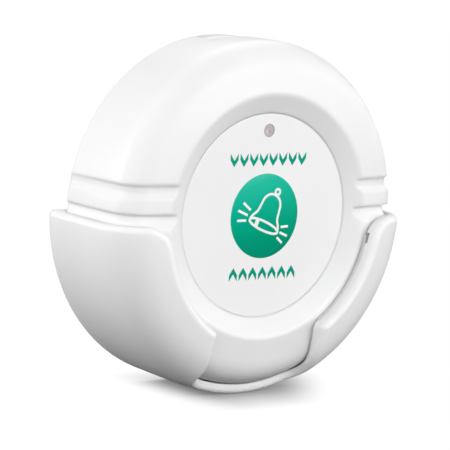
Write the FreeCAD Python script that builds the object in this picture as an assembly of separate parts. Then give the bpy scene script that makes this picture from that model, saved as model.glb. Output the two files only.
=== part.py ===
import FreeCAD, Part
import math
import os

# A round call button unit standing in a half-cup wall holder.
# Millimetres, +Z up. The wall is the plane Y = 0 and the front faces -Y.
# "Depth" is the distance out from the wall, so a point of depth d has Y = -d.
# The origin is on the wall, on the axis of the round unit.

# Call unit, outside form
unit_radius = 38.4          # widest, half way along the side wall
front_draft = 0.15          # the side is this much narrower at the front shoulder
back_draft = 0.65           # and this much narrower at the back edge
unit_thickness = 24.2       # back plane to the crest of the front ring
back_edge_round = 1.0
shoulder_drop = 1.6         # corner of the shoulder, below the crest
shoulder_round = 6.5
ring_width = 11.3           # from the widest circle in to the crest
crest_peak = 0.14           # sharp corner of the crest, above its rounded top
crest_round = 1.8
dish_depth = 2.0            # from the crest down to the face
dish_width = 4.52           # from the crest in to the cap

# Call unit, moulded walls
shell_wall = 2.2
cover_thickness = 1.8
cover_clearance = 0.15
seal_wall_gap = 2.15        # between the side wall and the inner wall that carries the seal
seal_wall_thickness = 1.2
seal_thickness = 0.9
spigot_height = 2.4
spigot_wall = 1.2
collar_wall = 1.5
collar_length = 6.9         # guides the cap, measured from the face

# Grooves across both sides
upper_groove_top = 7.25     # heights of the walls at the groove's floor
upper_groove_bottom = 5.8
lower_groove_top = 0.95
lower_groove_bottom = -0.4
upper_groove_depth = 0.75
lower_groove_depth = 1.2
upper_top_slope = 0.7       # how far each wall leans outwards up to the unit's surface
upper_bottom_slope = 1.1
lower_top_slope = 0.5
lower_bottom_slope = 1.5
groove_overcut = 0.4        # the leaning walls are cut this far beyond the surface

# Lanyard recess and bar in the top of the side wall
recess_drop = 1.1           # its flat floor, under the unit's widest circle
recess_front_depth = 12.4
recess_length = 8.4
pocket_half_width = 6.6
pocket_rim = 1.1            # left in front of and behind the pocket
pocket_wall = 1.1
bar_thickness = 2.4
bar_width = 2.8
bar_offset = 1.3            # from the pocket's rear edge
bar_inset = 0.5             # under the unit's widest circle
bar_round = 0.8

# Press cap
cap_gap = 0.15
cap_plate = 1.6
cap_wall = 1.4
cap_skirt = 6.4
label_thickness = 0.25
label_edge_round = 0.08
press_travel = 0.6
hook_count = 3
hook_angle = 18.0           # width of each hook, degrees
hook_reach = 1.0
hook_height = 1.6
hook_land = 0.5             # straight part of the hook's nose
hook_gap = 0.1
stem_radius = 2.2
rib_count = 6
rib_thickness = 1.0
rib_height = 1.5

# Indicator lamp and its lens in the cap
lens_radius = 1.5
lens_inset = 3.6            # its centre, from the edge of the cap
lens_flange_radius = 2.0
lens_flange = 0.7
lens_clearance = 0.05
lens_recess = 0.1
lamp_radius = 1.45
lamp_foot_radius = 1.75
lamp_foot = 0.8
lamp_gap = 0.4              # between lamp and lens with the cap pressed

# Circuit board
board_margin = 2.0          # inside the inner wall
board_thickness = 1.0
board_depth = 10.0          # rear face, from the wall
boss_notch_gap = 0.5
standoff_inset = 2.6        # its centre, from the edge of the board
standoff_radius = 2.1
board_screw_radius = 0.9
board_screw_length = 6.0    # in front of the board
board_screw_head = 1.7
board_screw_head_height = 0.9

# Screws that hold the rear cover
boss_count = 3
boss_inset = 2.2            # their centres, from the edge of the board
boss_radius = 2.9
cover_screw_radius = 1.0
cover_screw_head = 2.0
cover_screw_length = 10.0
screw_head_height = 1.0
screw_clearance = 0.08
driver_width = 0.5          # cross recess in the screw heads
driver_arm = 0.6            # its reach as a share of the head
driver_depth = 0.5

# Push switch and return spring
switch_side = 6.0
switch_height = 3.4
switch_corner = 0.5
switch_leg = 0.7
plunger_radius = 1.7
plunger_clearance = 0.06
plunger_height = 1.5        # above the switch
plunger_buried = 1.7        # inside the switch
plunger_gap = 0.05          # under the stem
spring_radius = 5.3
spring_wire = 0.3           # radius of the wire
spring_turns = 5.0
spring_seat_wall = 0.7
spring_seat_clearance = 0.15
spring_gap = 0.02

# Battery
cell_radius = 10.0
cell_height = 3.2
cell_step = 0.3             # rounding of the can and step to its other pole
cell_inset = 1.2            # from the can's edge in to the other pole
cell_drop = 8.0             # centre of the cell, below the unit's axis
cell_clearance = 0.2
tray_wall = 1.1
tray_floor = 0.7
tray_lip = 0.4              # the cell stands this far out of the tray
contact_radius = 4.6
contact_sheet = 0.2
contact_tip = 1.5
contact_foot = 2.3
clip_width = 5.0
clip_sheet = 0.3
clip_gap = 0.1
clip_foot = 1.6

# Parts on the front of the board
can_length = 11.0
can_width = 9.0
can_height = 2.2
can_corner = 0.5
can_offset = 6.8            # from the axis to the can's near side
can_rise = 2.5
chip_length = 7.6
chip_width = 5.2
chip_height = 1.7
chip_offset = 8.2
chip_rise = 6.4
chip_legs = 6
chip_leg = 0.5
crystal_length = 7.0
crystal_width = 3.4
crystal_height = 2.4
crystal_rise = 5.4
crystal_flat = 0.1
small_chip_length = 2.0
small_chip_width = 1.2
small_chip_height = 0.6
small_chip_count = 6
small_chip_pitch = 1.9
loop_margin = 1.0           # outside the can's far corner
loop_wire = 0.4
loop_half_angle = 62.0
loop_height = 2.6

# Wall holder
holder_plate = 2.0
holder_wall = 2.15
holder_gap = 0.35
seat_gap = 0.3              # between the unit's back and the plate
rim_height = -1.0
rim_round = 1.3
lip_height = 3.9            # outside of the front wall at the mouth, above the unit's crest
holder_drop = 3.7           # corner of the holder's shoulder, below the lip
holder_round = 11.0
arch_rise = 3.0             # the plate's top edge, above the rim at its middle
arch_inset = 1.5
mouth_margin = 1.5          # outside the crest
slot_half_width = 14.7
slot_depth = 20.5           # the slot's floor, from the wall
slot_corner = 4.0
slot_top_corner = 1.5
wing_corner = 6.0
notch_top = -4.6            # small recess in the inner edge of each wing
notch_bottom = -6.8
notch_height = 1.2          # above and below the unit's crest
notch_reach = 1.2           # into the wing, from the mouth
screw_spacing = 30.0
screw_drop = 14.0
screw_hole_radius = 2.1
countersink_radius = 3.8
countersink_depth = 1.3

# Worked out from the values above
back_depth = holder_plate + seat_gap
crest_depth = back_depth + unit_thickness
face_depth = crest_depth - dish_depth
unit_front_radius = unit_radius - front_draft
unit_back_radius = unit_radius - back_draft
crest_radius = unit_radius - ring_width
mouth_radius = crest_radius + mouth_margin
lip_depth = crest_depth + lip_height
holder_growth = holder_gap + holder_wall
bore_radius = crest_radius - dish_width
cap_radius = bore_radius - cap_gap
lens_offset = cap_radius - lens_inset
cap_top = face_depth - label_thickness
cap_underside = cap_top - cap_plate
skirt_end = face_depth - cap_skirt
collar_end = face_depth - collar_length
hook_top = collar_end - hook_gap
cover_front = back_depth + cover_thickness
seal_front = cover_front + seal_thickness
inner_side_radius = unit_back_radius - shell_wall
seal_wall_outer = inner_side_radius - seal_wall_gap
seal_wall_radius = seal_wall_outer - seal_wall_thickness
recess_flat_height = unit_radius - recess_drop
board_radius = seal_wall_radius - board_margin
boss_circle = board_radius - boss_inset
standoff_offset = board_radius - standoff_inset
board_front = board_depth + board_thickness
switch_top = board_front + switch_height
plunger_top = switch_top + plunger_height
cell_front = board_depth - tray_floor
cell_rear = cell_front - cell_height
tray_radius = cell_radius + cell_clearance + tray_wall
loop_radius = math.hypot(can_offset + can_length, can_rise + can_width) + loop_margin
far = 4 * (unit_radius + unit_thickness)
full = math.inf             # a rounding as large as its two sides allow

axis = FreeCAD.Vector(0, 1, 0)
origin = FreeCAD.Vector(0, 0, 0)


def point(x, depth, z):
    return FreeCAD.Vector(x, -depth, z)


def rod(radius, depth_from, depth_to, x=0.0, z=0.0):
    low = min(depth_from, depth_to)
    high = max(depth_from, depth_to)
    return Part.makeCylinder(radius, high - low, point(x, low, z), -axis)


def tube(outer, inner, depth_from, depth_to):
    return rod(outer, depth_from, depth_to).cut(rod(inner, depth_from, depth_to))


def taper(radius_from, radius_to, depth_from, depth_to, x=0.0, z=0.0):
    return Part.makeCone(radius_from, radius_to, depth_to - depth_from, point(x, depth_from, z), -axis)


def block(x_from, x_to, depth_from, depth_to, z_from, z_to):
    corner = point(x_from, depth_to, z_from)
    return Part.makeBox(x_to - x_from, depth_to - depth_from, z_to - z_from, corner)


def edges_where(shape, test):
    return [edge for edge in shape.Edges if test(edge)]


def runs_along(edge, direction):
    """True when the edge lies along x, depth or z."""
    box = edge.BoundBox
    spans = {"x": box.XLength, "depth": box.YLength, "z": box.ZLength}
    return all(span < 1e-4 for name, span in spans.items() if name != direction)


def rounded_block(x_from, x_to, depth_from, depth_to, z_from, z_to, corner):
    solid = block(x_from, x_to, depth_from, depth_to, z_from, z_to)
    return solid.makeFillet(corner, edges_where(solid, lambda edge: runs_along(edge, "depth")))


def around(shape, count):
    return [shape.rotated(origin, axis, 360.0 * i / count) for i in range(count)]


def fused(first, *others):
    return first.multiFuse(list(others)).removeSplitter()


def outline_wire(corners):
    """Closed outline of (radius, depth, rounding) corners."""
    places = [point(radius, depth, 0) for radius, depth, _ in corners]
    count = len(places)
    before = [(places[i - 1] - places[i]).normalize() for i in range(count)]
    after = [(places[(i + 1) % count] - places[i]).normalize() for i in range(count)]
    half = [before[i].getAngle(after[i]) / 2 for i in range(count)]
    rounds = [corner[2] for corner in corners]
    reach = [0.0 if rounds[i] == full else rounds[i] / math.tan(half[i]) for i in range(count)]
    for i in range(count):
        if rounds[i] == full:
            left = (places[i - 1] - places[i]).Length - reach[i - 1]
            right = (places[(i + 1) % count] - places[i]).Length - reach[(i + 1) % count]
            reach[i] = min(left, right)
    starts = [places[i] + before[i] * reach[i] for i in range(count)]
    ends = [places[i] + after[i] * reach[i] for i in range(count)]
    edges = []
    for i in range(count):
        if reach[i]:
            radius = reach[i] * math.tan(half[i])
            inward = (before[i] + after[i]).normalize() * (radius / math.sin(half[i]) - radius)
            edges.append(Part.Arc(starts[i], places[i] + inward, ends[i]).toShape())
        next_start = starts[(i + 1) % count]
        if (next_start - ends[i]).Length > 1e-6:
            edges.append(Part.LineSegment(ends[i], next_start).toShape())
    return Part.Wire(edges)


def turned(corners, angle=360.0):
    """Solid of revolution about the unit's axis, its seam at the top."""
    face = Part.Face(outline_wire(corners))
    return face.revolve(origin, axis, angle).rotated(origin, axis, -90)


def grown(corners, amount):
    """The outline moved outwards by amount; its first and last corners stay on the axis."""
    lines = []
    for (r0, d0, _), (r1, d1, _) in zip(corners, corners[1:]):
        length = math.hypot(r1 - r0, d1 - d0)
        shift_r = -(d1 - d0) / length * amount
        shift_d = (r1 - r0) / length * amount
        lines.append((r0 + shift_r, d0 + shift_d, r1 - r0, d1 - d0))
    moved = [(0.0, lines[0][1], 0.0)]
    for i in range(1, len(lines)):
        r0, d0, u0, v0 = lines[i - 1]
        r1, d1, u1, v1 = lines[i]
        turn = u0 * v1 - v0 * u1
        along = ((r1 - r0) * v1 - (d1 - d0) * u1) / turn
        rounding = corners[i][2]
        if 0 < rounding < full:
            rounding = max(rounding + (amount if turn < 0 else -amount), 0.0)
        moved.append((r0 + u0 * along, d0 + v0 * along, rounding))
    moved.append((0.0, lines[-1][1], 0.0))
    return moved


def with_back_at(corners, depth, rounding=0.0):
    """The same outline with its back moved to another depth."""
    return corners[:-2] + [(corners[-2][0], depth, rounding), (0.0, depth, 0.0)]


def side_corners():
    """From the shoulder round to the back."""
    return [
        (unit_front_radius, crest_depth - shoulder_drop, shoulder_round),
        (unit_radius, back_depth + unit_thickness / 2, full),
        (unit_back_radius, back_depth, back_edge_round),
        (0.0, back_depth, 0.0),
    ]


def unit_corners():
    """Outside of the unit with its dished front."""
    face = [(0.0, face_depth, 0.0), (bore_radius, face_depth, 0.0)]
    return face + [(crest_radius, crest_depth + crest_peak, crest_round)] + side_corners()


def envelope_corners():
    """Outside of the unit with its dish filled in."""
    peak = crest_depth + crest_peak
    return [(0.0, peak, 0.0), (crest_radius, peak, 0.0)] + side_corners()


def level_outline(amount, z):
    """The unit's outline moved outwards by amount, in the level plane at height z."""
    beyond = back_depth - unit_thickness
    corners = with_back_at(grown(envelope_corners(), amount), beyond)
    level = [(math.sqrt(max(r * r - z * z, 0.0)), depth, rounding) for r, depth, rounding in corners]
    return outline_wire(level).translated(FreeCAD.Vector(0, 0, z))


def groove_cutter(low, high, depth, low_slope, high_slope):
    """The space outside the groove's floor and its two leaning walls, on the right."""
    reach = (depth + groove_overcut) / depth
    below = low - low_slope * reach
    above = high + high_slope * reach
    middle = (low + high) / 2
    floor = level_outline(-depth, middle)
    opening = level_outline(groove_overcut, middle)
    levels = ((opening, below), (floor, low), (floor, high), (opening, above))
    wires = [wire.translated(FreeCAD.Vector(0, 0, z - middle)) for wire, z in levels]
    core = [Part.makeLoft(list(pair), True, True) for pair in zip(wires, wires[1:])]
    return block(0, far, -far, far, below, above).cut(core[0].multiFuse(core[1:]))


def grooved(solid):
    """Two grooves across each side that run over the crest and end in the dish."""
    upper = groove_cutter(upper_groove_bottom, upper_groove_top, upper_groove_depth,
                          upper_bottom_slope, upper_top_slope)
    lower = groove_cutter(lower_groove_bottom, lower_groove_top, lower_groove_depth,
                          lower_bottom_slope, lower_top_slope)
    for cutter in (upper, lower):
        solid = solid.cut(cutter)
        solid = solid.cut(cutter.mirror(origin, FreeCAD.Vector(1, 0, 0)))
    return solid


def boss_places():
    """Centres of the bosses, the first at the top."""
    angles = [math.radians(90 + 360.0 * i / boss_count) for i in range(boss_count)]
    return [(boss_circle * math.cos(a), boss_circle * math.sin(a)) for a in angles]


def lanyard_pocket():
    """Walls of the recess inside the shell, the space to cut out, and the bar across it."""
    front = recess_front_depth - pocket_rim
    rear = recess_front_depth - recess_length + pocket_rim
    half = pocket_half_width + pocket_wall
    wall_rear = cover_front + cover_clearance
    walls = block(-half, half, wall_rear, front + pocket_wall, 0, recess_flat_height - pocket_wall)
    walls = walls.cut(rod(seal_wall_outer + cover_clearance, -far, seal_front))
    walls = walls.cut(rod(seal_wall_radius + seal_wall_thickness / 2, seal_front, far))
    flat = block(-far, far, recess_front_depth - recess_length, recess_front_depth, recess_flat_height, far)
    pocket = block(-pocket_half_width, pocket_half_width, rear, front, seal_wall_outer, far)
    bar_rear = rear + bar_offset
    bar_top = unit_radius - bar_inset
    hoop = tube(bar_top, bar_top - bar_thickness, bar_rear, bar_rear + bar_width)
    hoop = hoop.makeFillet(bar_round, edges_where(hoop, lambda edge: edge.BoundBox.YLength < 1e-4))
    bar_half = pocket_half_width + pocket_wall / 2
    bar = hoop.common(block(-bar_half, bar_half, 0, far, 0, far))
    return walls, fused(flat, pocket), bar


def front_housing():
    """One moulding: dished front, side wall, guide collar, seal wall, bosses and lanyard bar."""
    shell = grooved(turned(unit_corners()))
    inside = turned(grown(unit_corners(), -shell_wall)).common(rod(inner_side_radius, -far, far))
    opening = rod(inner_side_radius, -far, seal_front + back_edge_round)
    shell = shell.cut(inside).cut(opening)
    pieces = [tube(seal_wall_outer, seal_wall_radius, seal_front, crest_depth)]
    pieces.append(tube(bore_radius + collar_wall, bore_radius, collar_end, crest_depth))
    for x, z in boss_places():
        pieces.append(rod(boss_radius, cover_front, crest_depth, x, z))
    for side in (-1, 1):
        pieces.append(rod(standoff_radius, board_front, crest_depth, side * standoff_offset))
    pocket_walls, pocket, bar = lanyard_pocket()
    limit = turned(grown(unit_corners(), -(lower_groove_depth + shell_wall) / 2))
    pieces = [piece.common(limit) for piece in pieces] + [pocket_walls.common(limit)]
    solid = fused(shell, *pieces).cut(pocket)
    solid = fused(solid, bar)
    solid = solid.cut(rod(bore_radius, collar_end - hook_height, far))
    screw_end = back_depth + cover_screw_length + 2 * screw_clearance
    for x, z in boss_places():
        solid = solid.cut(rod(cover_screw_radius + screw_clearance, 0, screw_end, x, z))
    board_screw_end = board_front + board_screw_length + 2 * screw_clearance
    for side in (-1, 1):
        pilot = rod(board_screw_radius + screw_clearance, 0, board_screw_end, side * standoff_offset)
        solid = solid.cut(pilot)
    return solid


def countersunk(radius, head_radius, head_height, depth_from, depth_to, x, z):
    """A screw or the hole for one, its head at the rear."""
    head = taper(head_radius, radius, depth_from, depth_from + head_height, x, z)
    return fused(head, rod(radius, depth_from, depth_to, x, z))


def rear_cover():
    """Disc that closes the back, with a spigot inside the seal wall."""
    disc = rod(inner_side_radius - cover_clearance, back_depth, cover_front)
    outer = seal_wall_radius - cover_clearance
    spigot = tube(outer, outer - spigot_wall, cover_front, cover_front + spigot_height)
    boss_gap = boss_radius + screw_clearance + spigot_wall
    for x, z in boss_places():
        spigot = spigot.cut(rod(boss_gap, cover_front, far, x, z))
    solid = fused(disc, spigot)
    for x, z in boss_places():
        hole_radius = cover_screw_radius + screw_clearance
        head_radius = cover_screw_head + screw_clearance
        hole = countersunk(hole_radius, head_radius, screw_head_height, back_depth, cover_front, x, z)
        solid = solid.cut(hole)
    return solid


def seal_ring():
    """Flat ring between the cover and the end of the seal wall."""
    return tube(seal_wall_outer - cover_clearance, seal_wall_radius, cover_front, seal_front)


def driver_slot(radius, depth, x, z):
    """Cross recess for the screwdriver."""
    arm = driver_arm * radius
    half = driver_width / 2
    low = depth - driver_depth
    high = depth + driver_depth
    across = block(x - arm, x + arm, low, high, z - half, z + half)
    return fused(across, block(x - half, x + half, low, high, z - arm, z + arm))


def cover_screws():
    screws = []
    for x, z in boss_places():
        end = back_depth + cover_screw_length
        screw = countersunk(cover_screw_radius, cover_screw_head, screw_head_height, back_depth, end, x, z)
        screws.append(screw.cut(driver_slot(cover_screw_head, back_depth, x, z)))
    return Part.makeCompound(screws)


def circuit_board():
    board = rod(board_radius, board_depth, board_front)
    for x, z in boss_places():
        board = board.cut(rod(boss_radius + boss_notch_gap, board_depth, board_front, x, z))
    for side in (-1, 1):
        hole = rod(board_screw_radius + screw_clearance, 0, board_front, side * standoff_offset)
        board = board.cut(hole)
    return board


def board_screws():
    screws = []
    for side in (-1, 1):
        x = side * standoff_offset
        head_end = board_depth - board_screw_head_height
        head = rod(board_screw_head, head_end, board_depth, x)
        screw = fused(head, rod(board_screw_radius, board_depth, board_front + board_screw_length, x))
        screws.append(screw.cut(driver_slot(board_screw_head, head_end, x, 0)))
    return Part.makeCompound(screws)


def button_cap():
    """Press cap: plate, skirt, snap hooks, stem, spring seat and ribs."""
    inner = cap_radius - cap_wall
    plate = rod(cap_radius, cap_underside, cap_top)
    skirt = tube(cap_radius, inner, skirt_end, cap_top)
    seat_outer = spring_radius - spring_wire - spring_seat_clearance
    seat = tube(seat_outer, seat_outer - spring_seat_wall, cap_underside - rib_height, cap_top)
    stem = rod(stem_radius, plunger_top + plunger_gap, cap_top)
    rib_start = spring_radius + spring_wire + spring_seat_wall
    rib = block(rib_start, cap_radius - cap_wall / 2, cap_underside - rib_height, cap_top,
                -rib_thickness / 2, rib_thickness / 2)
    nose = bore_radius + hook_reach
    hook = turned([
        (inner, hook_top - hook_height, 0.0),
        (cap_radius, hook_top - hook_height, 0.0),
        (nose, hook_top - hook_land, 0.0),
        (nose, hook_top, 0.0),
        (cap_radius, hook_top, 0.0),
        (cap_radius, skirt_end + cap_wall, 0.0),
        (inner, skirt_end + cap_wall, 0.0),
    ], hook_angle)
    solid = fused(plate, skirt, seat, stem, *around(rib, rib_count), *around(hook, hook_count))
    return solid.cut(rod(lens_radius + lens_clearance, 0, far, 0, lens_offset))


def face_label():
    """Thin overlay that covers the cap."""
    disc = turned([
        (0.0, face_depth, 0.0),
        (cap_radius, face_depth, label_edge_round),
        (cap_radius, cap_top, 0.0),
        (0.0, cap_top, 0.0),
    ])
    return disc.cut(rod(lens_radius + lens_clearance, 0, far, 0, lens_offset))


def led_lens():
    barrel = rod(lens_radius, cap_underside, face_depth - lens_recess, 0, lens_offset)
    flange = rod(lens_flange_radius, cap_underside - lens_flange, cap_underside, 0, lens_offset)
    return fused(barrel, flange)


def status_led():
    top = cap_underside - lens_flange - press_travel - lamp_gap
    dome_centre = top - lamp_radius
    foot = rod(lamp_foot_radius, board_front, board_front + lamp_foot, 0, lens_offset)
    barrel = rod(lamp_radius, board_front, dome_centre, 0, lens_offset)
    dome = Part.makeSphere(lamp_radius, point(0, dome_centre, lens_offset))
    return fused(foot, barrel, dome)


def switch_body():
    half = switch_side / 2
    solid = rounded_block(-half, half, board_front, switch_top, -half, half, switch_corner)
    well_end = switch_top - plunger_buried - press_travel - plunger_clearance
    solid = solid.cut(rod(plunger_radius + plunger_clearance, well_end, far))
    legs = []
    for side in (-1, 1):
        for height in (-1, 1):
            x_from = min(side * half, side * (half + switch_leg))
            z_from = height * half / 2 - switch_leg / 2
            legs.append(block(x_from, x_from + switch_leg, board_front, board_front + switch_leg,
                              z_from, z_from + switch_leg))
    return fused(solid, *legs)


def switch_plunger():
    return rod(plunger_radius, switch_top - plunger_buried, plunger_top)


def return_spring():
    """Open coil spring around the switch, from the board to the cap."""
    low = board_front + spring_wire + spring_gap
    high = cap_underside - spring_wire - spring_gap
    helix = Part.makeHelix((high - low) / spring_turns, high - low, spring_radius)
    start = FreeCAD.Vector(spring_radius, 0, 0)
    section = Part.Wire([Part.makeCircle(spring_wire, start, FreeCAD.Vector(0, 1, 0))])
    coil = Part.Wire(helix.Edges).makePipeShell([section], True, True)
    coil.rotate(origin, FreeCAD.Vector(1, 0, 0), 90)
    coil.translate(point(0, low, 0))
    return coil


def coin_battery():
    """Button cell: a can with the smaller cap of its other pole towards the board."""
    can = rod(cell_radius, cell_rear, cell_front - cell_step, 0, -cell_drop)
    rim = edges_where(can, lambda edge: edge.BoundBox.YLength < 1e-4)
    can = can.makeFillet(cell_step, rim)
    return fused(can, rod(cell_radius - cell_inset, cell_rear + cell_step, cell_front, 0, -cell_drop))


def battery_holder():
    rear = cell_rear + tray_lip
    tray = rod(tray_radius, rear, board_depth, 0, -cell_drop)
    tray = tray.cut(rod(cell_radius + cell_clearance, 0, cell_front, 0, -cell_drop))
    tray = tray.cut(rod(contact_radius + cell_clearance, 0, board_depth, 0, -cell_drop))
    half = clip_width / 2
    notch_end = cell_front - tray_lip
    return tray.cut(block(-half, half, 0, notch_end, -far, far))


def battery_contact():
    """Round sheet on the board with a pressed cone that touches the cell."""
    sheet = rod(contact_radius, board_depth - contact_sheet, board_depth, 0, -cell_drop)
    tip = cell_front + spring_gap
    cone = taper(contact_tip, contact_foot, tip, board_depth, 0, -cell_drop)
    return fused(sheet, cone)


def battery_clip():
    """Bent strap over the back of the cell, soldered to the board at both ends."""
    half = clip_width / 2
    front = cell_rear - spring_gap
    reach = tray_radius + clip_gap
    z_low = -cell_drop - half
    z_high = -cell_drop + half
    strap = block(-reach - clip_sheet, reach + clip_sheet, front - clip_sheet, front, z_low, z_high)
    pieces = []
    for side in (-1, 1):
        inner = side * reach
        outer = side * (reach + clip_sheet)
        foot_end = side * (reach + clip_foot)
        leg_from = min(inner, outer)
        leg_to = max(inner, outer)
        pieces.append(block(leg_from, leg_to, front - clip_sheet, board_depth, z_low, z_high))
        foot_from = min(inner, foot_end)
        foot_to = max(inner, foot_end)
        pieces.append(block(foot_from, foot_to, board_depth - clip_sheet, board_depth, z_low, z_high))
    return fused(strap, *pieces)


def radio_can():
    x_to = -can_offset
    x_from = x_to - can_length
    z_to = can_rise + can_width
    return rounded_block(x_from, x_to, board_front, board_front + can_height, can_rise, z_to, can_corner)


def encoder_chip():
    """Small chip with a row of legs along its two long sides."""
    x_from = chip_offset
    z_to = -chip_rise
    z_from = z_to - chip_width
    body_low = board_front + chip_leg / 2
    solid = block(x_from, x_from + chip_length, body_low, board_front + chip_height, z_from, z_to)
    pitch = chip_length / chip_legs
    legs = []
    for i in range(chip_legs):
        x = x_from + (i + 0.5) * pitch - chip_leg / 2
        legs.append(block(x, x + chip_leg, board_front, body_low + chip_leg / 2,
                          z_from - chip_leg, z_to + chip_leg))
    return fused(solid, *legs)


def crystal_can():
    x_from = chip_offset
    z_from = crystal_rise
    round_end = crystal_width / 2 - crystal_flat
    x_to = x_from + crystal_length
    z_to = z_from + crystal_width
    return rounded_block(x_from, x_to, board_front, board_front + crystal_height, z_from, z_to, round_end)


def chip_parts():
    """Row of small resistors and capacitors."""
    pieces = []
    for i in range(small_chip_count):
        x = -can_offset - can_length + i * small_chip_pitch
        z = -chip_rise - small_chip_length
        top = board_front + small_chip_height
        pieces.append(block(x, x + small_chip_width, board_front, top, z, z + small_chip_length))
    return Part.makeCompound(pieces)


def antenna_loop():
    """Bent wire that stands on the board on two legs."""
    depth = board_front + loop_height
    circle = Part.makeCircle(loop_wire, point(loop_radius, depth, 0), FreeCAD.Vector(0, 0, 1))
    section = Part.Face(Part.Wire([circle]))
    arc = section.revolve(origin, axis, 2 * loop_half_angle).rotated(origin, axis, -90 - loop_half_angle)
    pieces = []
    for side in (-1, 1):
        angle = math.radians(90 + side * loop_half_angle)
        x = loop_radius * math.cos(angle)
        z = loop_radius * math.sin(angle)
        pieces.append(rod(loop_wire, board_front, depth, x, z))
        pieces.append(Part.makeSphere(loop_wire, point(x, depth, z)))
    return fused(arc, *pieces)


def holder_corners():
    """Outside of the holder, over the mouth and down to the wall."""
    return [
        (0.0, lip_depth, 0.0),
        (mouth_radius, lip_depth, 0.0),
        (unit_front_radius + holder_growth, lip_depth - holder_drop, holder_round),
        (unit_radius + holder_growth, back_depth + unit_thickness / 2, full),
        (unit_back_radius + holder_growth, 0.0, 0.0),
        (0.0, 0.0, 0.0),
    ]


def rim_edges(solid, skin):
    """Sharp edges round the mouth, the slot and the top, where the outside meets a cut face."""

    def sharp(edge):
        span = edge.LastParameter - edge.FirstParameter
        places = [edge.valueAt(edge.FirstParameter + span * part) for part in (0.2, 0.5, 0.8)]
        if -min(place.y for place in places) < holder_plate:
            return False
        if any(skin.distToShape(Part.Vertex(place))[0] > 1e-3 for place in places):
            return False
        outside_faces = 0
        for face in solid.ancestorsOfType(edge, Part.Face):
            samples = face.tessellate(0.5)[0][::6]
            if max(skin.distToShape(Part.Vertex(sample))[0] for sample in samples) < 0.05:
                outside_faces += 1
        return outside_faces < 2

    return edges_where(solid, sharp)


def wall_holder():
    """Half cup with a back plate, a mouth round the dish and a slot below it."""
    outside = turned(holder_corners())
    skin = outside.Shells[0]
    pocket = turned(with_back_at(grown(envelope_corners(), holder_gap), holder_plate, back_edge_round))
    solid = outside.cut(pocket).cut(rod(mouth_radius, slot_depth, far))
    arch_half = unit_back_radius - arch_inset
    arch_radius = (arch_half ** 2 + arch_rise ** 2) / (2 * arch_rise)
    arch = rod(arch_radius, -far, far, 0, rim_height + arch_rise - arch_radius)
    solid = solid.cut(block(-far, far, holder_plate, far, rim_height, far))
    solid = solid.cut(block(-far, far, -far, holder_plate, rim_height, far).cut(arch))
    slot = block(-slot_half_width, slot_half_width, slot_depth, far, -far, -mouth_radius / 2)
    slot = slot.makeFillet(slot_corner, edges_where(slot, lambda edge: runs_along(edge, "z")
                                                    and abs(-edge.BoundBox.Center.y - slot_depth) < 1e-3))
    solid = solid.cut(slot)
    mouth_edge = math.sqrt(mouth_radius ** 2 - rim_height ** 2)

    def wing_top(edge):
        middle = edge.BoundBox.Center
        at_rim = abs(middle.z - rim_height) < 1e-3
        return runs_along(edge, "depth") and at_rim and abs(abs(middle.x) - mouth_edge) < 1e-3

    def slot_top(edge):
        middle = edge.BoundBox.Center
        on_side = abs(abs(middle.x) - slot_half_width) < 1e-3
        return runs_along(edge, "depth") and on_side and middle.z < rim_height

    solid = solid.makeFillet(wing_corner, edges_where(solid, wing_top))
    solid = solid.makeFillet(slot_top_corner, edges_where(solid, slot_top))
    solid = solid.makeFillet(rim_round, rim_edges(solid, skin))
    notch_from = crest_depth - notch_height
    notch_to = crest_depth + notch_height
    for side in (-1, 1):
        notch = block(0, mouth_radius + notch_reach, notch_from, notch_to, notch_bottom, notch_top)
        solid = solid.cut(notch if side > 0 else notch.mirror(origin, FreeCAD.Vector(1, 0, 0)))
    sink = holder_plate - countersink_depth
    for side in (-1, 1):
        x = side * screw_spacing / 2
        solid = solid.cut(rod(screw_hole_radius, 0, holder_plate, x, -screw_drop))
        solid = solid.cut(taper(screw_hole_radius, countersink_radius, sink, holder_plate, x, -screw_drop))
    return solid


nodes = {
    "wall_holder": wall_holder,
    "front_housing": front_housing,
    "rear_cover": rear_cover,
    "seal_ring": seal_ring,
    "cover_screws": cover_screws,
    "circuit_board": circuit_board,
    "board_screws": board_screws,
    "button_cap": button_cap,
    "face_label": face_label,
    "led_lens": led_lens,
    "status_led": status_led,
    "switch_body": switch_body,
    "switch_plunger": switch_plunger,
    "return_spring": return_spring,
    "coin_battery": coin_battery,
    "battery_holder": battery_holder,
    "battery_contact": battery_contact,
    "battery_clip": battery_clip,
    "radio_can": radio_can,
    "encoder_chip": encoder_chip,
    "crystal_can": crystal_can,
    "chip_parts": chip_parts,
    "antenna_loop": antenna_loop,
}

os.makedirs("parts", exist_ok=True)
for name, make in nodes.items():
    shape = make()
    print(name, len(shape.Solids), "solids", round(shape.Volume, 2), "mm3", shape.isValid())
    shape.exportStep("parts/" + name + ".step")
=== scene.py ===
import bpy
import math
from mathutils import Matrix, Vector


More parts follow.
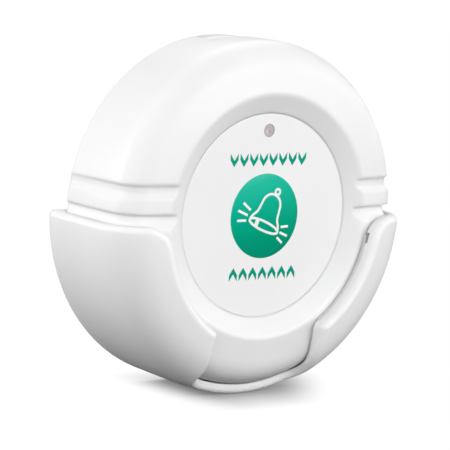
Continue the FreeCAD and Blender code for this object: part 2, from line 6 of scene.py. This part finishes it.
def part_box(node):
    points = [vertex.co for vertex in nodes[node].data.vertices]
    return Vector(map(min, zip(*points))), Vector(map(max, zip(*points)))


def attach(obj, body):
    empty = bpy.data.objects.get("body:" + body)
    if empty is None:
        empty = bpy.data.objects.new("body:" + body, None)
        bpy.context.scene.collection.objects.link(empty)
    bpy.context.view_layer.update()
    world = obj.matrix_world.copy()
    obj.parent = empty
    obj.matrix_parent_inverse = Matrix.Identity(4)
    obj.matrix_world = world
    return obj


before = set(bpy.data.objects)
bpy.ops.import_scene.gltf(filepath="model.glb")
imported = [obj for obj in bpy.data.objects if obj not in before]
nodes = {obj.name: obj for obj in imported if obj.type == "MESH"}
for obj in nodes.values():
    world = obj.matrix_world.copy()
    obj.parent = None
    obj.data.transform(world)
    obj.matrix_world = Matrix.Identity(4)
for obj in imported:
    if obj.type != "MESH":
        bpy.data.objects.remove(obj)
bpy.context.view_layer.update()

scene = bpy.context.scene
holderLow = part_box("wall_holder")[0]
labelLow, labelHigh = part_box("face_label")
lensLow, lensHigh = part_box("led_lens")
lensMiddle = (lensLow + lensHigh) / 2
faceY = labelLow.y  # front of the overlay, where all print lies
print("frame loaded with", len(nodes), "nodes")


# camera, where the photograph was taken from
cameraView = {
    "place": (-0.44132, -0.56489, 0.09673),
    "turn": ((0.78612, 0.03685, -0.61697), (-0.61470, 0.15064, -0.77424), (0.06441, 0.98790, 0.14107)),
    "lens": 256.33,
    "sensor": 36.0,
}


def addCamera(view):
    data = bpy.data.cameras.new("photoCamera")
    data.lens = view["lens"]
    data.sensor_width = view["sensor"]
    camera = bpy.data.objects.new("photoCamera", data)
    scene.collection.objects.link(camera)
    camera.matrix_world = Matrix.Translation(Vector(view["place"])) @ Matrix(view["turn"]).to_4x4()
    scene.camera = camera


addCamera(cameraView)
print("camera set")


# small helpers for building materials
def newMaterial(name):
    material = bpy.data.materials.new(name)
    material.use_nodes = True
    tree = material.node_tree
    return material, tree, tree.nodes["Principled BSDF"]


def addNode(tree, kind, x, y, **settings):
    node = tree.nodes.new(kind)
    node.location = (x, y)
    for key, value in settings.items():
        setattr(node, key, value)
    return node


# what is fed in is another node's output, or a plain number or colour
def feed(tree, socket, value):
    if isinstance(value, bpy.types.NodeSocket):
        tree.links.new(value, socket)
    else:
        socket.default_value = value


def addMath(tree, x, y, operation, *values, clamp=False):
    node = addNode(tree, "ShaderNodeMath", x, y, operation=operation, use_clamp=clamp)
    for socket, value in zip(node.inputs, values):
        feed(tree, socket, value)
    return node.outputs[0]


def addDot(tree, x, y, first, second):
    node = addNode(tree, "ShaderNodeVectorMath", x, y, operation="DOT_PRODUCT")
    feed(tree, node.inputs[0], first)
    feed(tree, node.inputs[1], second)
    return node.outputs["Value"]


def addRange(tree, x, y, value, ends, levels, interpolation="LINEAR"):
    node = addNode(tree, "ShaderNodeMapRange", x, y, interpolation_type=interpolation)
    for label, given in zip(("Value", "From Min", "From Max", "To Min", "To Max"), (value, *ends, *levels)):
        feed(tree, node.inputs[label], given)
    return node.outputs["Result"]


def addMix(tree, x, y, factor, first, second):
    mix = addNode(tree, "ShaderNodeMix", x, y, data_type="RGBA")
    for label, given in (("Factor", factor), ("A", first), ("B", second)):
        feed(tree, mix.inputs[label], (*given, 1) if isinstance(given, tuple) else given)
    return mix.outputs["Result"]


def addNoise(tree, x, y, place, scale, detail, roughness=0.5):
    noise = addNode(tree, "ShaderNodeTexNoise", x, y)
    for label, given in (("Vector", place), ("Scale", scale), ("Detail", detail), ("Roughness", roughness)):
        feed(tree, noise.inputs[label], given)
    return noise.outputs["Fac"]


def objectPlace(tree, x, y):
    return addNode(tree, "ShaderNodeTexCoord", x, y).outputs["Object"]


def newGroup(name, inputs, outputs):
    group = bpy.data.node_groups.new(name, "ShaderNodeTree")
    for label, value in inputs.items():
        socket = group.interface.new_socket(name=label, in_out="INPUT", socket_type="NodeSocketFloat")
        socket.default_value = value
    for label in outputs:
        group.interface.new_socket(name=label, in_out="OUTPUT", socket_type="NodeSocketFloat")
    start = addNode(group, "NodeGroupInput", -900, 0)
    end = addNode(group, "NodeGroupOutput", 700, 0)
    return group, start.outputs, end.inputs


# effects that several materials share: the grain of a mould, and brushed metal
grainShape = {"detail": 3.0, "roughness": 0.6, "waviness": 0.3, "flowScale": 55.0, "flowDetail": 2.0,
              "flowEnds": (0.3, 0.7)}
brushShape = {"stretch": (0.05, 1.0, 1.0), "detail": 2.0, "bump": 0.3, "relief": 0.00001}


def buildMouldGrain(shape):
    group, given, result = newGroup("mouldGrain", {"Size": 0.0004, "Low": 0.3, "High": 0.5},
                                    ("Height", "Roughness", "Shade"))
    place = objectPlace(group, -900, 300)
    scale = addMath(group, -700, 100, "DIVIDE", 1.0, given["Size"])
    grain = addNoise(group, -500, 200, place, scale, shape["detail"], shape["roughness"])
    flow = addNoise(group, -500, -100, place, shape["flowScale"], shape["flowDetail"])
    wave = addMath(group, -250, 0, "MULTIPLY_ADD", flow, shape["waviness"], grain)
    gloss = addRange(group, -50, -200, flow, shape["flowEnds"], (given["Low"], given["High"]))
    feed(group, result["Height"], wave)
    feed(group, result["Roughness"], gloss)
    feed(group, result["Shade"], flow)
    return group


def buildBrushing(shape):
    group, given, result = newGroup("brushing", {"Size": 0.0003, "Low": 0.2, "High": 0.4},
                                    ("Height", "Roughness"))
    stretch = addNode(group, "ShaderNodeMapping", -700, 300)
    feed(group, stretch.inputs["Vector"], objectPlace(group, -900, 300))
    feed(group, stretch.inputs["Scale"], shape["stretch"])
    scale = addMath(group, -700, 0, "DIVIDE", 1.0, given["Size"])
    lines = addNoise(group, -450, 200, stretch.outputs["Vector"], scale, shape["detail"])
    gloss = addRange(group, -150, -100, lines, (0.0, 1.0), (given["Low"], given["High"]))
    feed(group, result["Height"], lines)
    feed(group, result["Roughness"], gloss)
    return group


mouldGrain = buildMouldGrain(grainShape)
brushing = buildBrushing(brushShape)


def addGroup(tree, group, size, gloss):
    node = addNode(tree, "ShaderNodeGroup", -600, 0, node_tree=group)
    for label, given in (("Size", size), ("Low", gloss[0]), ("High", gloss[1])):
        feed(tree, node.inputs[label], given)
    return node.outputs


def addBump(tree, shader, height, strength, relief):
    bump = addNode(tree, "ShaderNodeBump", -300, -200)
    for label, given in (("Strength", strength), ("Distance", relief), ("Height", height)):
        feed(tree, bump.inputs[label], given)
    feed(tree, shader.inputs["Normal"], bump.outputs["Normal"])
    return bump


def addGrain(tree, shader, look):
    grain = addGroup(tree, mouldGrain, look["grain"], look["gloss"])
    bump = addBump(tree, shader, grain["Height"], look.get("bump", 0.2), look.get("relief", 0.00002))
    feed(tree, shader.inputs["Roughness"], grain["Roughness"])
    if "softEdge" in look:
        edge = addNode(tree, "ShaderNodeBevel", -600, -300, samples=6)
        feed(tree, edge.inputs["Radius"], look["softEdge"])
        feed(tree, bump.inputs["Normal"], edge.outputs["Normal"])
    return grain


def plastic(name, look):
    material, tree, shader = newMaterial(name)
    grain = addGrain(tree, shader, look)
    tint = addMix(tree, -300, 200, grain["Shade"], look["dark"], look["light"])
    feed(tree, shader.inputs["Base Color"], tint)
    feed(tree, shader.inputs["Coat Weight"], look.get("coat", 0.0))
    feed(tree, shader.inputs["Coat Roughness"], look.get("coatRoughness", 0.2))
    if "depth" in look:
        feed(tree, shader.inputs["Subsurface Weight"], look["depth"])
        feed(tree, shader.inputs["Subsurface Radius"], look["scatter"])
        feed(tree, shader.inputs["Subsurface Scale"], 1.0)
    return material


# the lens colour has a painted highlight, a lighter spot off its middle, and beside it a darker core
def lensPlastic(name, look):
    material = plastic(name, look)
    tree = material.node_tree
    shader = tree.nodes["Principled BSDF"]
    place = objectPlace(tree, -1500, 600)
    colour = shader.inputs["Base Color"].links[0].from_socket
    # mix the painted highlight, then the darker core, into the lens colour by distance from their middles
    for index, ((across, up), reach, tone) in enumerate((look["paintedHighlight"], look["core"])):
        y = 600 - 300 * index
        centre = addNode(tree, "ShaderNodeMapping", -1300, y)
        feed(tree, centre.inputs["Vector"], place)
        feed(tree, centre.inputs["Location"], (-lensMiddle.x - across, 0, -lensMiddle.z - up))
        feed(tree, centre.inputs["Scale"], (1, 0, 1))
        distance = addNode(tree, "ShaderNodeVectorMath", -1100, y, operation="LENGTH")
        feed(tree, distance.inputs[0], centre.outputs["Vector"])
        fade = addRange(tree, -900, y, distance.outputs["Value"], (0.0, reach), (1.0, 0.0), "SMOOTHSTEP")
        colour = addMix(tree, -500 + 200 * index, 500, fade, colour, tone)
    feed(tree, shader.inputs["Base Color"], colour)
    return material


def metal(name, look):
    material, tree, shader = newMaterial(name)
    lines = addGroup(tree, brushing, look["size"], look["gloss"])
    addBump(tree, shader, lines["Height"], brushShape["bump"], brushShape["relief"])
    tint = addMix(tree, -300, 200, lines["Height"], look["dark"], look["light"])
    feed(tree, shader.inputs["Base Color"], tint)
    feed(tree, shader.inputs["Roughness"], lines["Roughness"])
    feed(tree, shader.inputs["Metallic"], 1.0)
    return material


# moulded plastics of the outside: darkest and lightest tone, size of the grain, roughness from and to
housingLook = {"dark": (0.835, 0.835, 0.835), "light": (0.865, 0.865, 0.865), "grain": 0.00035,
               "gloss": (0.36, 0.46), "softEdge": 0.0010, "depth": 0.6, "scatter": (0.0015, 0.0014, 0.0014)}
holderLook = {"dark": (0.872, 0.87, 0.872), "light": (0.902, 0.90, 0.902), "grain": 0.0004,
              "gloss": (0.4, 0.5), "softEdge": 0.0006, "depth": 0.6, "scatter": (0.0015, 0.0014, 0.0014)}
capLook = {"dark": (0.84, 0.84, 0.83), "light": (0.87, 0.87, 0.86), "grain": 0.0003, "gloss": (0.35, 0.45)}
filmLook = {"dark": (0.87, 0.87, 0.87), "light": (0.89, 0.89, 0.89), "grain": 0.00018, "gloss": (0.3, 0.36),
            "bump": 0.12, "relief": 0.00001}
lensLook = {"dark": (0.54, 0.46, 0.48), "light": (0.60, 0.52, 0.54), "grain": 0.0005, "gloss": (0.12, 0.2),
            "bump": 0.05, "coat": 0.6, "coatRoughness": 0.05,
            # painted highlight: a lighter spot on the lens
            "paintedHighlight": ((-0.0004, -0.0003), 0.0009, (0.72, 0.66, 0.68)),  # middle from the lens, reach, colour
            "core": ((0.00015, -0.00025), 0.00042, (0.33, 0.27, 0.29))}
# what is inside and behind
sealLook = {"dark": (0.02, 0.02, 0.022), "light": (0.035, 0.035, 0.037),
            "grain": 0.0002, "gloss": (0.55, 0.7)}
boardLook = {"dark": (0.01, 0.10, 0.045), "light": (0.015, 0.16, 0.07),
             "grain": 0.0006, "gloss": (0.25, 0.35), "coat": 0.4}
switchLook = {"dark": (0.015, 0.015, 0.016), "light": (0.03, 0.03, 0.032),
              "grain": 0.0003, "gloss": (0.35, 0.5)}
plungerLook = {"dark": (0.55, 0.50, 0.42), "light": (0.62, 0.57, 0.48),
               "grain": 0.0003, "gloss": (0.35, 0.5)}
resinLook = {"dark": (0.45, 0.03, 0.03), "light": (0.55, 0.05, 0.05),
             "grain": 0.0006, "gloss": (0.08, 0.15), "bump": 0.05, "coat": 0.8, "coatRoughness": 0.04}
trayLook = {"dark": (0.02, 0.02, 0.02), "light": (0.04, 0.04, 0.04),
            "grain": 0.0004, "gloss": (0.4, 0.55)}
chipLook = {"dark": (0.012, 0.012, 0.013), "light": (0.025, 0.025, 0.026),
            "grain": 0.0002, "gloss": (0.45, 0.6)}
steelLook = {"dark": (0.50, 0.50, 0.51), "light": (0.66, 0.66, 0.67), "size": 0.0003, "gloss": (0.22, 0.38)}
cellLook = {"dark": (0.58, 0.57, 0.55), "light": (0.72, 0.71, 0.69), "size": 0.0004, "gloss": (0.15, 0.3)}
brassLook = {"dark": (0.62, 0.43, 0.17), "light": (0.78, 0.58, 0.26), "size": 0.0003, "gloss": (0.2, 0.35)}

finishes = {
    "holder_plastic": plastic("holderPlastic", holderLook),
    "housing_plastic": plastic("housingPlastic", housingLook),
    "cap_plastic": plastic("capPlastic", capLook),
    "label_film": plastic("labelFilm", filmLook),
    "lens_plastic": lensPlastic("lensPlastic", lensLook),
    "seal_rubber": plastic("sealRubber", sealLook),
    "screw_steel": metal("screwSteel", steelLook),
    "board_laminate": plastic("boardLaminate", boardLook),
    "switch_plastic": plastic("switchPlastic", switchLook),
    "plunger_plastic": plastic("plungerPlastic", plungerLook),
    "spring_steel": metal("springSteel", steelLook),
    "lamp_resin": plastic("lampResin", resinLook),
    "cell_steel": metal("cellSteel", cellLook),
    "tray_plastic": plastic("trayPlastic", trayLook),
    "contact_brass": metal("contactBrass", brassLook),
    "chip_plastic": plastic("chipPlastic", chipLook),
    "can_steel": metal("canSteel", steelLook),
}
for name, part in nodes.items():
    for slot in part.material_slots:
        old = slot.material.name.split(".")[0]
        if old in finishes:
            slot.material = finishes[old]
        else:
            print("no finish for", name, old)
print("materials set on the frame")


# modelling helpers
def clearChoice():
    if bpy.context.object and bpy.context.object.mode != "OBJECT":
        bpy.ops.object.mode_set(mode="OBJECT")
    bpy.ops.object.select_all(action="DESELECT")


def choose(piece):
    clearChoice()
    piece.select_set(True)
    bpy.context.view_layer.objects.active = piece


def applyPlace(piece):
    choose(piece)
    bpy.ops.object.transform_apply(location=True, rotation=True, scale=True)


def applyBevel(piece, width, segments):
    choose(piece)
    bevel = piece.modifiers.new("softEdge", "BEVEL")
    bevel.width = width
    bevel.segments = segments
    bpy.ops.object.modifier_apply(modifier=bevel.name)
    bpy.ops.object.shade_smooth_by_angle(angle=math.radians(40))


def joinPieces(pieces, name):
    clearChoice()
    for piece in pieces:
        piece.select_set(True)
    bpy.context.view_layer.objects.active = pieces[0]
    bpy.ops.object.join()
    joined = bpy.context.object
    joined.name = name
    joined.data.name = name
    return joined


def copyTo(piece, place, turn, stretch=1.0):
    choose(piece)
    bpy.ops.object.duplicate(linked=False)
    copy = bpy.context.object
    copy.location = place
    copy.rotation_euler = (0, turn, 0)
    copy.scale = (stretch, 1, 1)
    applyPlace(copy)
    return copy


def removePiece(piece):
    choose(piece)
    bpy.ops.object.delete()


# inks, their colour changing from below upwards: each stop is a height in metres and a colour
def ink(name, look):
    material, tree, shader = newMaterial(name)
    split = addNode(tree, "ShaderNodeSeparateXYZ", -1100, 200)
    feed(tree, split.inputs["Vector"], objectPlace(tree, -1300, 200))
    slant = look.get("slant", 0.0)
    height = addMath(tree, -900, 300, "MULTIPLY_ADD", split.outputs["X"], slant, split.outputs["Z"])
    low = look["stops"][0][0]
    high = look["stops"][-1][0]
    ramp = addNode(tree, "ShaderNodeValToRGB", -500, 300)
    feed(tree, ramp.inputs["Fac"], addRange(tree, -700, 200, height, (low, high), (0.0, 1.0)))
    stops = ramp.color_ramp.elements
    while len(stops) < len(look["stops"]):
        stops.new(0.5)
    for stop, (level, colour) in zip(stops, look["stops"]):
        stop.position = (level - low) / (high - low)
        stop.color = (*colour, 1)
    feed(tree, shader.inputs["Base Color"], ramp.outputs["Color"])
    feed(tree, shader.inputs["Specular IOR Level"], look.get("specular", 0.5))
    addGrain(tree, shader, look)
    return material


inkSurface = {"grain": 0.00012, "gloss": (0.3, 0.38), "bump": 0.08, "relief": 0.00001}
greenLook = {"stops": ((-0.0105, (0.0, 0.275, 0.16)), (-0.004, (0.0, 0.34, 0.20)),
                       (0.0, (0.0, 0.40, 0.25)), (0.004, (0.001, 0.45, 0.30)),
                       (0.0075, (0.006, 0.49, 0.335)), (0.0102, (0.06, 0.55, 0.40))),
             "slant": -0.25, "specular": 0.04}
markLook = {"stops": ((-0.02, (0.0, 0.31, 0.20)), (0.02, (0.002, 0.36, 0.235))), "specular": 0.04}
whiteLook = {"stops": ((-0.01, (0.85, 0.88, 0.865)), (0.01, (0.88, 0.90, 0.89)))}
greenInk = ink("greenInk", {**greenLook, **inkSurface})
markInk = ink("markInk", {**markLook, **inkSurface})
whiteInk = ink("whiteInk", {**whiteLook, **inkSurface})


# green disc in the middle of the overlay
inkDisc = {"centre": (0.00015, -0.00012), "radius": 0.0094, "height": 0.00003, "edge": 0.000012,
           "segments": 160}


def addInkDisc(disc):
    clearChoice()
    x, z = disc["centre"]
    bpy.ops.mesh.primitive_cylinder_add(vertices=disc["segments"], radius=disc["radius"],
                                        depth=disc["height"], rotation=(math.pi / 2, 0, 0),
                                        location=(x, faceY - disc["height"] / 2, z))
    piece = bpy.context.object
    piece.name = "printDisc"
    applyPlace(piece)
    applyBevel(piece, disc["edge"], 2)
    piece.data.materials.append(greenInk)
    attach(piece, "button")


addInkDisc(inkDisc)
print("green disc printed")


# bell drawn in strokes: body across and up from the middle of its mouth in millimetres, the rest in metres
bell = {
    "mouth": (0.0001, -0.00235),
    "lean": 22.0,
    "stroke": 0.0006,
    "height": 0.00004,
    "body": ((4.3, 0.1), (3.95, 1.15), (3.05, 2.5), (2.72, 4.2), (2.3, 6.0), (1.25, 7.05), (0, 7.35),
             (-1.25, 7.05), (-2.3, 6.0), (-2.72, 4.2), (-3.05, 2.5), (-3.95, 1.15), (-4.3, 0.1)),
    "mouthSize": (0.0043, 0.001),
    "mouthPoints": 12,
    "loop": (0.0004, 0.0082, 0.00062),  # across, up, radius
    "loopPoints": 8,
    "clapper": (-0.0021, -0.0001, 0.00085),  # across, up, half its length
    "clapperWidth": 0.0011,
}


def onBell(across, up):
    lean = math.radians(bell["lean"])
    x, z = bell["mouth"]
    return (x + across * math.cos(lean) + up * math.sin(lean),
            z - across * math.sin(lean) + up * math.cos(lean))


strokeShape = {"rounding": 3, "steps": 10}  # faces round a stroke, steps from one point to the next


def strokeAlong(places, width, closed, name):
    path = bpy.data.curves.new(name, "CURVE")
    path.dimensions = "3D"
    path.bevel_depth = width / 2
    path.bevel_resolution = strokeShape["rounding"]
    path.resolution_u = strokeShape["steps"]
    path.use_fill_caps = True
    line = path.splines.new("BEZIER")
    line.bezier_points.add(len(places) - 1)
    for knot, (x, z) in zip(line.bezier_points, places):
        knot.co = (x, 0, z)
        knot.handle_left_type = "AUTO"
        knot.handle_right_type = "AUTO"
    line.use_cyclic_u = closed
    piece = bpy.data.objects.new(name, path)
    scene.collection.objects.link(piece)
    choose(piece)
    bpy.ops.object.convert(target="MESH")
    return bpy.context.object


def flattenOntoDisc(piece, width, height):
    piece.scale = (1, height / width, 1)
    piece.location = (0, faceY - inkDisc["height"], 0)
    applyPlace(piece)
    bpy.ops.object.shade_smooth()
    piece.data.materials.append(whiteInk)
    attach(piece, "button")


def ovalPlaces(across, up, halfWidth, halfHeight, count):
    turns = [2 * math.pi * i / count for i in range(count)]
    return [onBell(across + halfWidth * math.cos(turn), up + halfHeight * math.sin(turn)) for turn in turns]


def addBell(bell):
    width = bell["stroke"]
    body = [onBell(across / 1000, up / 1000) for across, up in bell["body"]]
    mouth = ovalPlaces(0, 0, *bell["mouthSize"], bell["mouthPoints"])
    across, up, radius = bell["loop"]
    loop = ovalPlaces(across, up, radius, radius, bell["loopPoints"])
    strokes = [strokeAlong(body, width, False, "bellBody"), strokeAlong(mouth, width, True, "bellMouth"),
               strokeAlong(loop, width, True, "bellLoop")]
    flattenOntoDisc(joinPieces(strokes, "printBell"), width, bell["height"])
    across, up, reach = bell["clapper"]
    ends = [onBell(across, up - reach), onBell(across, up + reach)]
    clapper = strokeAlong(ends, bell["clapperWidth"], False, "bellClapper")
    flattenOntoDisc(clapper, bell["clapperWidth"], bell["height"])


addBell(bell)


# short strokes that stand for the sound, three on each side: both ends in millimetres
soundStrokes = {
    "length": 0.0025,  # of the one that is copied and drawn out
    "width": 0.00055,
    "height": 0.00004,
    "edge": 0.000012,
    "ends": (((-5.9, 3.0), (-3.8, 1.3)), ((-7.25, 1.3), (-4.55, 0.2)), ((-7.4, -0.95), (-4.9, -0.95)),
             ((5.0, -2.75), (7.05, -2.65)), ((4.75, -3.95), (6.95, -4.85)), ((4.05, -5.05), (5.6, -6.35))),
}


def addBar(length, height, width):
    clearChoice()
    bpy.ops.mesh.primitive_cube_add(size=1, location=(0, 0, 0), scale=(length, height, width))
    piece = bpy.context.object
    applyPlace(piece)
    return piece


def addSoundStrokes(strokes):
    first = addBar(strokes["length"], strokes["height"], strokes["width"])
    bars = []
    for (startX, startZ), (endX, endZ) in strokes["ends"]:
        place = ((startX + endX) / 2000, faceY - inkDisc["height"], (startZ + endZ) / 2000)
        stretch = math.hypot(endX - startX, endZ - startZ) / 1000 / strokes["length"]
        bars.append(copyTo(first, place, -math.atan2(endZ - startZ, endX - startX), stretch))
    removePiece(first)
    piece = joinPieces(bars, "printSound")
    applyBevel(piece, strokes["edge"], 2)
    piece.data.materials.append(whiteInk)
    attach(piece, "button")


addSoundStrokes(soundStrokes)
print("bell printed")


# rows of plain arrowheads above and below the disc, pointing at it
arrowRows = {
    "arm": 0.0011,
    "rise": 0.0016,
    "width": 0.0014,
    "height": 0.00003,
    "edge": 0.000009,
    "pitch": 0.00272,
    "rows": ((8, 0.0003, 0.0124, 180), (7, 0.0006, -0.0129, 0)),  # how many, middle across and up, turn
}


def addArrow(rows):
    piece = addBar(2 * rows["arm"], rows["height"], rows["width"])
    bpy.ops.object.mode_set(mode="EDIT")
    bpy.ops.mesh.select_all(action="SELECT")
    bpy.ops.mesh.subdivide(number_cuts=1)
    bpy.ops.mesh.select_all(action="DESELECT")
    bpy.ops.object.mode_set(mode="OBJECT")
    for vertex in piece.data.vertices:
        vertex.select = abs(vertex.co.x) < rows["arm"] / 10
    bpy.ops.object.mode_set(mode="EDIT")
    bpy.ops.transform.translate(value=(0, 0, rows["rise"]))
    bpy.ops.object.mode_set(mode="OBJECT")
    applyBevel(piece, rows["edge"], 1)
    piece.data.materials.append(markInk)
    return piece


def addArrowRows(rows):
    first = addArrow(rows)
    arrows = []
    for count, across, up, turn in rows["rows"]:
        lift = rows["rise"] / 2 if turn else -rows["rise"] / 2
        for index in range(count):
            x = across + (index - (count - 1) / 2) * rows["pitch"]
            arrows.append(copyTo(first, (x, faceY - rows["height"] / 2, up + lift), math.radians(turn)))
    removePiece(first)
    piece = joinPieces(arrows, "printArrows")
    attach(piece, "button")


addArrowRows(arrowRows)
print("arrow rows printed")


# trim round the lamp window: the overlay's white edge and a darker rim inside it
ringSteps = {"around": 64, "across": 10}
windowTrim = {
    "windowCollar": {"radius": 0.00153, "thickness": 0.00008, "flat": 0.6,
                     "look": {"dark": (0.83, 0.83, 0.83), "light": (0.86, 0.86, 0.86),
                              "grain": 0.0002, "gloss": (0.3, 0.4), "bump": 0.05}},
    "windowRim": {"radius": 0.00139, "thickness": 0.00007, "flat": 0.7,
                  "look": {"dark": (0.40, 0.35, 0.37), "light": (0.46, 0.41, 0.43),
                           "grain": 0.0002, "gloss": (0.2, 0.3), "bump": 0.05}},
}


def addWindowRing(name, ring):
    clearChoice()
    place = (lensMiddle.x, faceY + ring["thickness"] * 0.2, lensMiddle.z)  # sunk a little into the overlay
    bpy.ops.mesh.primitive_torus_add(major_radius=ring["radius"], minor_radius=ring["thickness"],
                                     major_segments=ringSteps["around"], minor_segments=ringSteps["across"],
                                     location=place, rotation=(math.pi / 2, 0, 0))
    piece = bpy.context.object
    piece.name = name
    applyPlace(piece)
    bpy.ops.object.mode_set(mode="EDIT")
    bpy.ops.mesh.select_all(action="SELECT")
    bpy.ops.transform.resize(value=(1, ring["flat"], 1))
    bpy.ops.object.mode_set(mode="OBJECT")
    bpy.ops.object.shade_smooth()
    piece.data.materials.append(plastic(name + "Plastic", ring["look"]))
    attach(piece, "button")


for name, ring in windowTrim.items():
    addWindowRing(name, ring)
print("window trim set")


# thin bead along the mouth of each wing, just clear of the unit
mouthBead = {"radius": 0.02848, "depth": 0.02682, "thickness": 0.00040,
             "from": -10.5, "to": -57.0, "points": 12}  # angles from the side downwards


def addMouthBead(bead):
    sides = []
    for side in (1, -1):
        places = []
        for index in range(bead["points"]):
            turn = math.radians(bead["from"] + (bead["to"] - bead["from"]) * index / (bead["points"] - 1))
            places.append((side * bead["radius"] * math.cos(turn), bead["radius"] * math.sin(turn)))
        sides.append(strokeAlong(places, bead["thickness"], False, "mouthBeadSide"))
    piece = joinPieces(sides, "mouthBead")
    piece.location = (0, -bead["depth"], 0)
    applyPlace(piece)
    bpy.ops.object.shade_smooth()
    piece.data.materials.append(finishes["holder_plastic"])
    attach(piece, "holder")


addMouthBead(mouthBead)
print("mouth beads set")


# soft lip that fills the slit round the cap; its tone, a little darker than the overlay, is painted shade
# standing for the faint line of shade in the slit
slitShadeLip = {"width": 0.000135, "height": 0.0003, "drop": 0.00001, "steps": 192, "edge": 0.000027,
           "look": {"dark": (0.83, 0.83, 0.83), "light": (0.86, 0.86, 0.86), "grain": 0.0002,
                    "gloss": (0.5, 0.6), "bump": 0.1}}


def addSlitShadeLip(lip):
    clearChoice()
    radius = (labelHigh.x - labelLow.x) / 2 + lip["width"]
    middle = faceY + lip["drop"] + lip["height"] / 2
    bpy.ops.mesh.primitive_cylinder_add(vertices=lip["steps"], radius=radius, depth=lip["height"],
                                        end_fill_type="NOTHING", rotation=(math.pi / 2, 0, 0),
                                        location=(0, middle, 0))
    piece = bpy.context.object
    piece.name = "slitShadeLip"
    applyPlace(piece)
    wall = piece.modifiers.new("wall", "SOLIDIFY")
    wall.thickness = lip["width"]
    wall.offset = -1
    bpy.ops.object.modifier_apply(modifier=wall.name)
    applyBevel(piece, lip["edge"], 2)
    # the lip's tone paints the shade of the slit
    piece.data.materials.append(plastic("lipSlitShade", lip["look"]))
    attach(piece, "button")


addSlitShadeLip(slitShadeLip)
print("dust lip set")


# how bright floor and world look from the camera and through glass (1), in reflections, and else (0)
def seenLevel(tree, inGloss):
    rays = addNode(tree, "ShaderNodeLightPath", -1100, 300).outputs
    shine = addMath(tree, -900, 300, "MULTIPLY", rays["Is Glossy Ray"], inGloss)
    seen = addMath(tree, -700, 300, "MAXIMUM", rays["Is Camera Ray"], shine)
    return addMath(tree, -500, 300, "MAXIMUM", seen, rays["Is Transmission Ray"])


# white paper floor whose glow carries a painted shadow close to the part: darker where the part is near,
# faded out by place towards both sides
floorLook = {
    "size": 6.0,
    "grey": 0.02,
    "reach": 0.015,  # how far from the part the shadow goes
    "gain": 0.90,
    "lift": 0.17,
    "inGloss": 0.2,
    # the painted shadow fades out along each way
    "paintedShadowFades": (((1, 0, 0), (-0.020, -0.006), (1.0, 0.0)),  # way, both ends and the levels there
              ((0.786, -0.615, 0), (0.021, 0.034), (0.0, 1.0))),
}


def addFloor(look):
    clearChoice()
    bpy.ops.mesh.primitive_plane_add(size=look["size"], location=(0, 0, holderLow.z))
    floor = bpy.context.object
    floor.name = "studioFloor"
    material, tree, shader = newMaterial("floorPaper")
    feed(tree, shader.inputs["Base Color"], (look["grey"], look["grey"], look["grey"], 1))
    feed(tree, shader.inputs["Roughness"], 0.9)
    feed(tree, shader.inputs["Specular IOR Level"], 0.0)
    feed(tree, shader.inputs["Emission Color"], (1, 1, 1, 1))
    near = addNode(tree, "ShaderNodeAmbientOcclusion", -900, -100, samples=24)
    feed(tree, near.inputs["Distance"], look["reach"])
    clear = addMath(tree, -700, -100, "MULTIPLY_ADD", near.outputs["AO"], look["gain"], look["lift"],
                    clamp=True)
    place = objectPlace(tree, -1300, -400)
    paintedShadowFades = [addRange(tree, -900, -400, addDot(tree, -1100, -400, place, way), ends, levels, "SMOOTHSTEP")
             for way, ends, levels in look["paintedShadowFades"]]
    sides = addMath(tree, -700, -400, "MAXIMUM", *paintedShadowFades)
    # painted shadow: occlusion near the part darkens the glow, except where the place fades take it back to
    # white
    shadow = addRange(tree, -500, -200, sides, (0.0, 1.0), (clear, 1.0))
    glow = addMath(tree, -300, 0, "MULTIPLY", seenLevel(tree, look["inGloss"]), shadow)
    feed(tree, shader.inputs["Emission Strength"], glow)
    floor.data.materials.append(material)


# white world that lights the part softly, a little more from behind it
worldLook = {"behind": 0.18, "above": 0.11, "inGloss": 0.5}


def addWorld(look):
    world = bpy.data.worlds.new("studioWorld")
    scene.world = world
    world.use_nodes = True
    tree = world.node_tree
    away = -Matrix(cameraView["turn"]).col[2] * look["behind"]
    way = addNode(tree, "ShaderNodeTexCoord", -1100, -100)
    behind = addDot(tree, -900, -100, way.outputs["Generated"], (away.x, away.y, 0))
    soft = addMath(tree, -700, -100, "MAXIMUM", behind, look["above"])
    level = addMath(tree, -250, 0, "MAXIMUM", seenLevel(tree, look["inGloss"]), soft)
    back = tree.nodes["Background"]
    feed(tree, back.inputs["Strength"], level)
    feed(tree, back.inputs["Color"], (1, 1, 1, 1))


# lamps: side of the camera and height in degrees, then strength
lampSoftness = 35
lamps = {
    "left": (-90, 10, 1.53),
    "leftNear": (-60, 10, 0.42),
    "frontLeft": (-30, 10, 0.76),
    "front": (0, 10, 1.05),
    "frontRight": (60, 10, 1.54),
    "right": (90, 10, 0.98),
    "backRight": (130, 10, 0.38),
    "leftHigh": (-50, 45, 0.34),
    "frontHigh": (50, 45, 0.10),
    "rightHigh": (110, 45, 0.12),
    "leftBackHigh": (-100, 45, 0.30),
    "backHigh": (180, 45, 0.78),
}


def addLamps(lamps, softness):
    back = Matrix(cameraView["turn"]).col[2]
    cameraSide = math.atan2(back.x, -back.y)
    for name, (side, height, strength) in lamps.items():
        turn = cameraSide + math.radians(side)
        rise = math.radians(height)
        towards = Vector((math.sin(turn) * math.cos(rise), -math.cos(turn) * math.cos(rise), math.sin(rise)))
        data = bpy.data.lights.new(name, "SUN")
        data.energy = strength
        data.angle = math.radians(softness)
        lamp = bpy.data.objects.new(name, data)
        scene.collection.objects.link(lamp)
        lamp.rotation_euler = (-towards).to_track_quat("-Z", "Y").to_euler()


addFloor(floorLook)
addWorld(worldLook)
addLamps(lamps, lampSoftness)
scene.view_settings.view_transform = "Standard"
print("floor and light set")
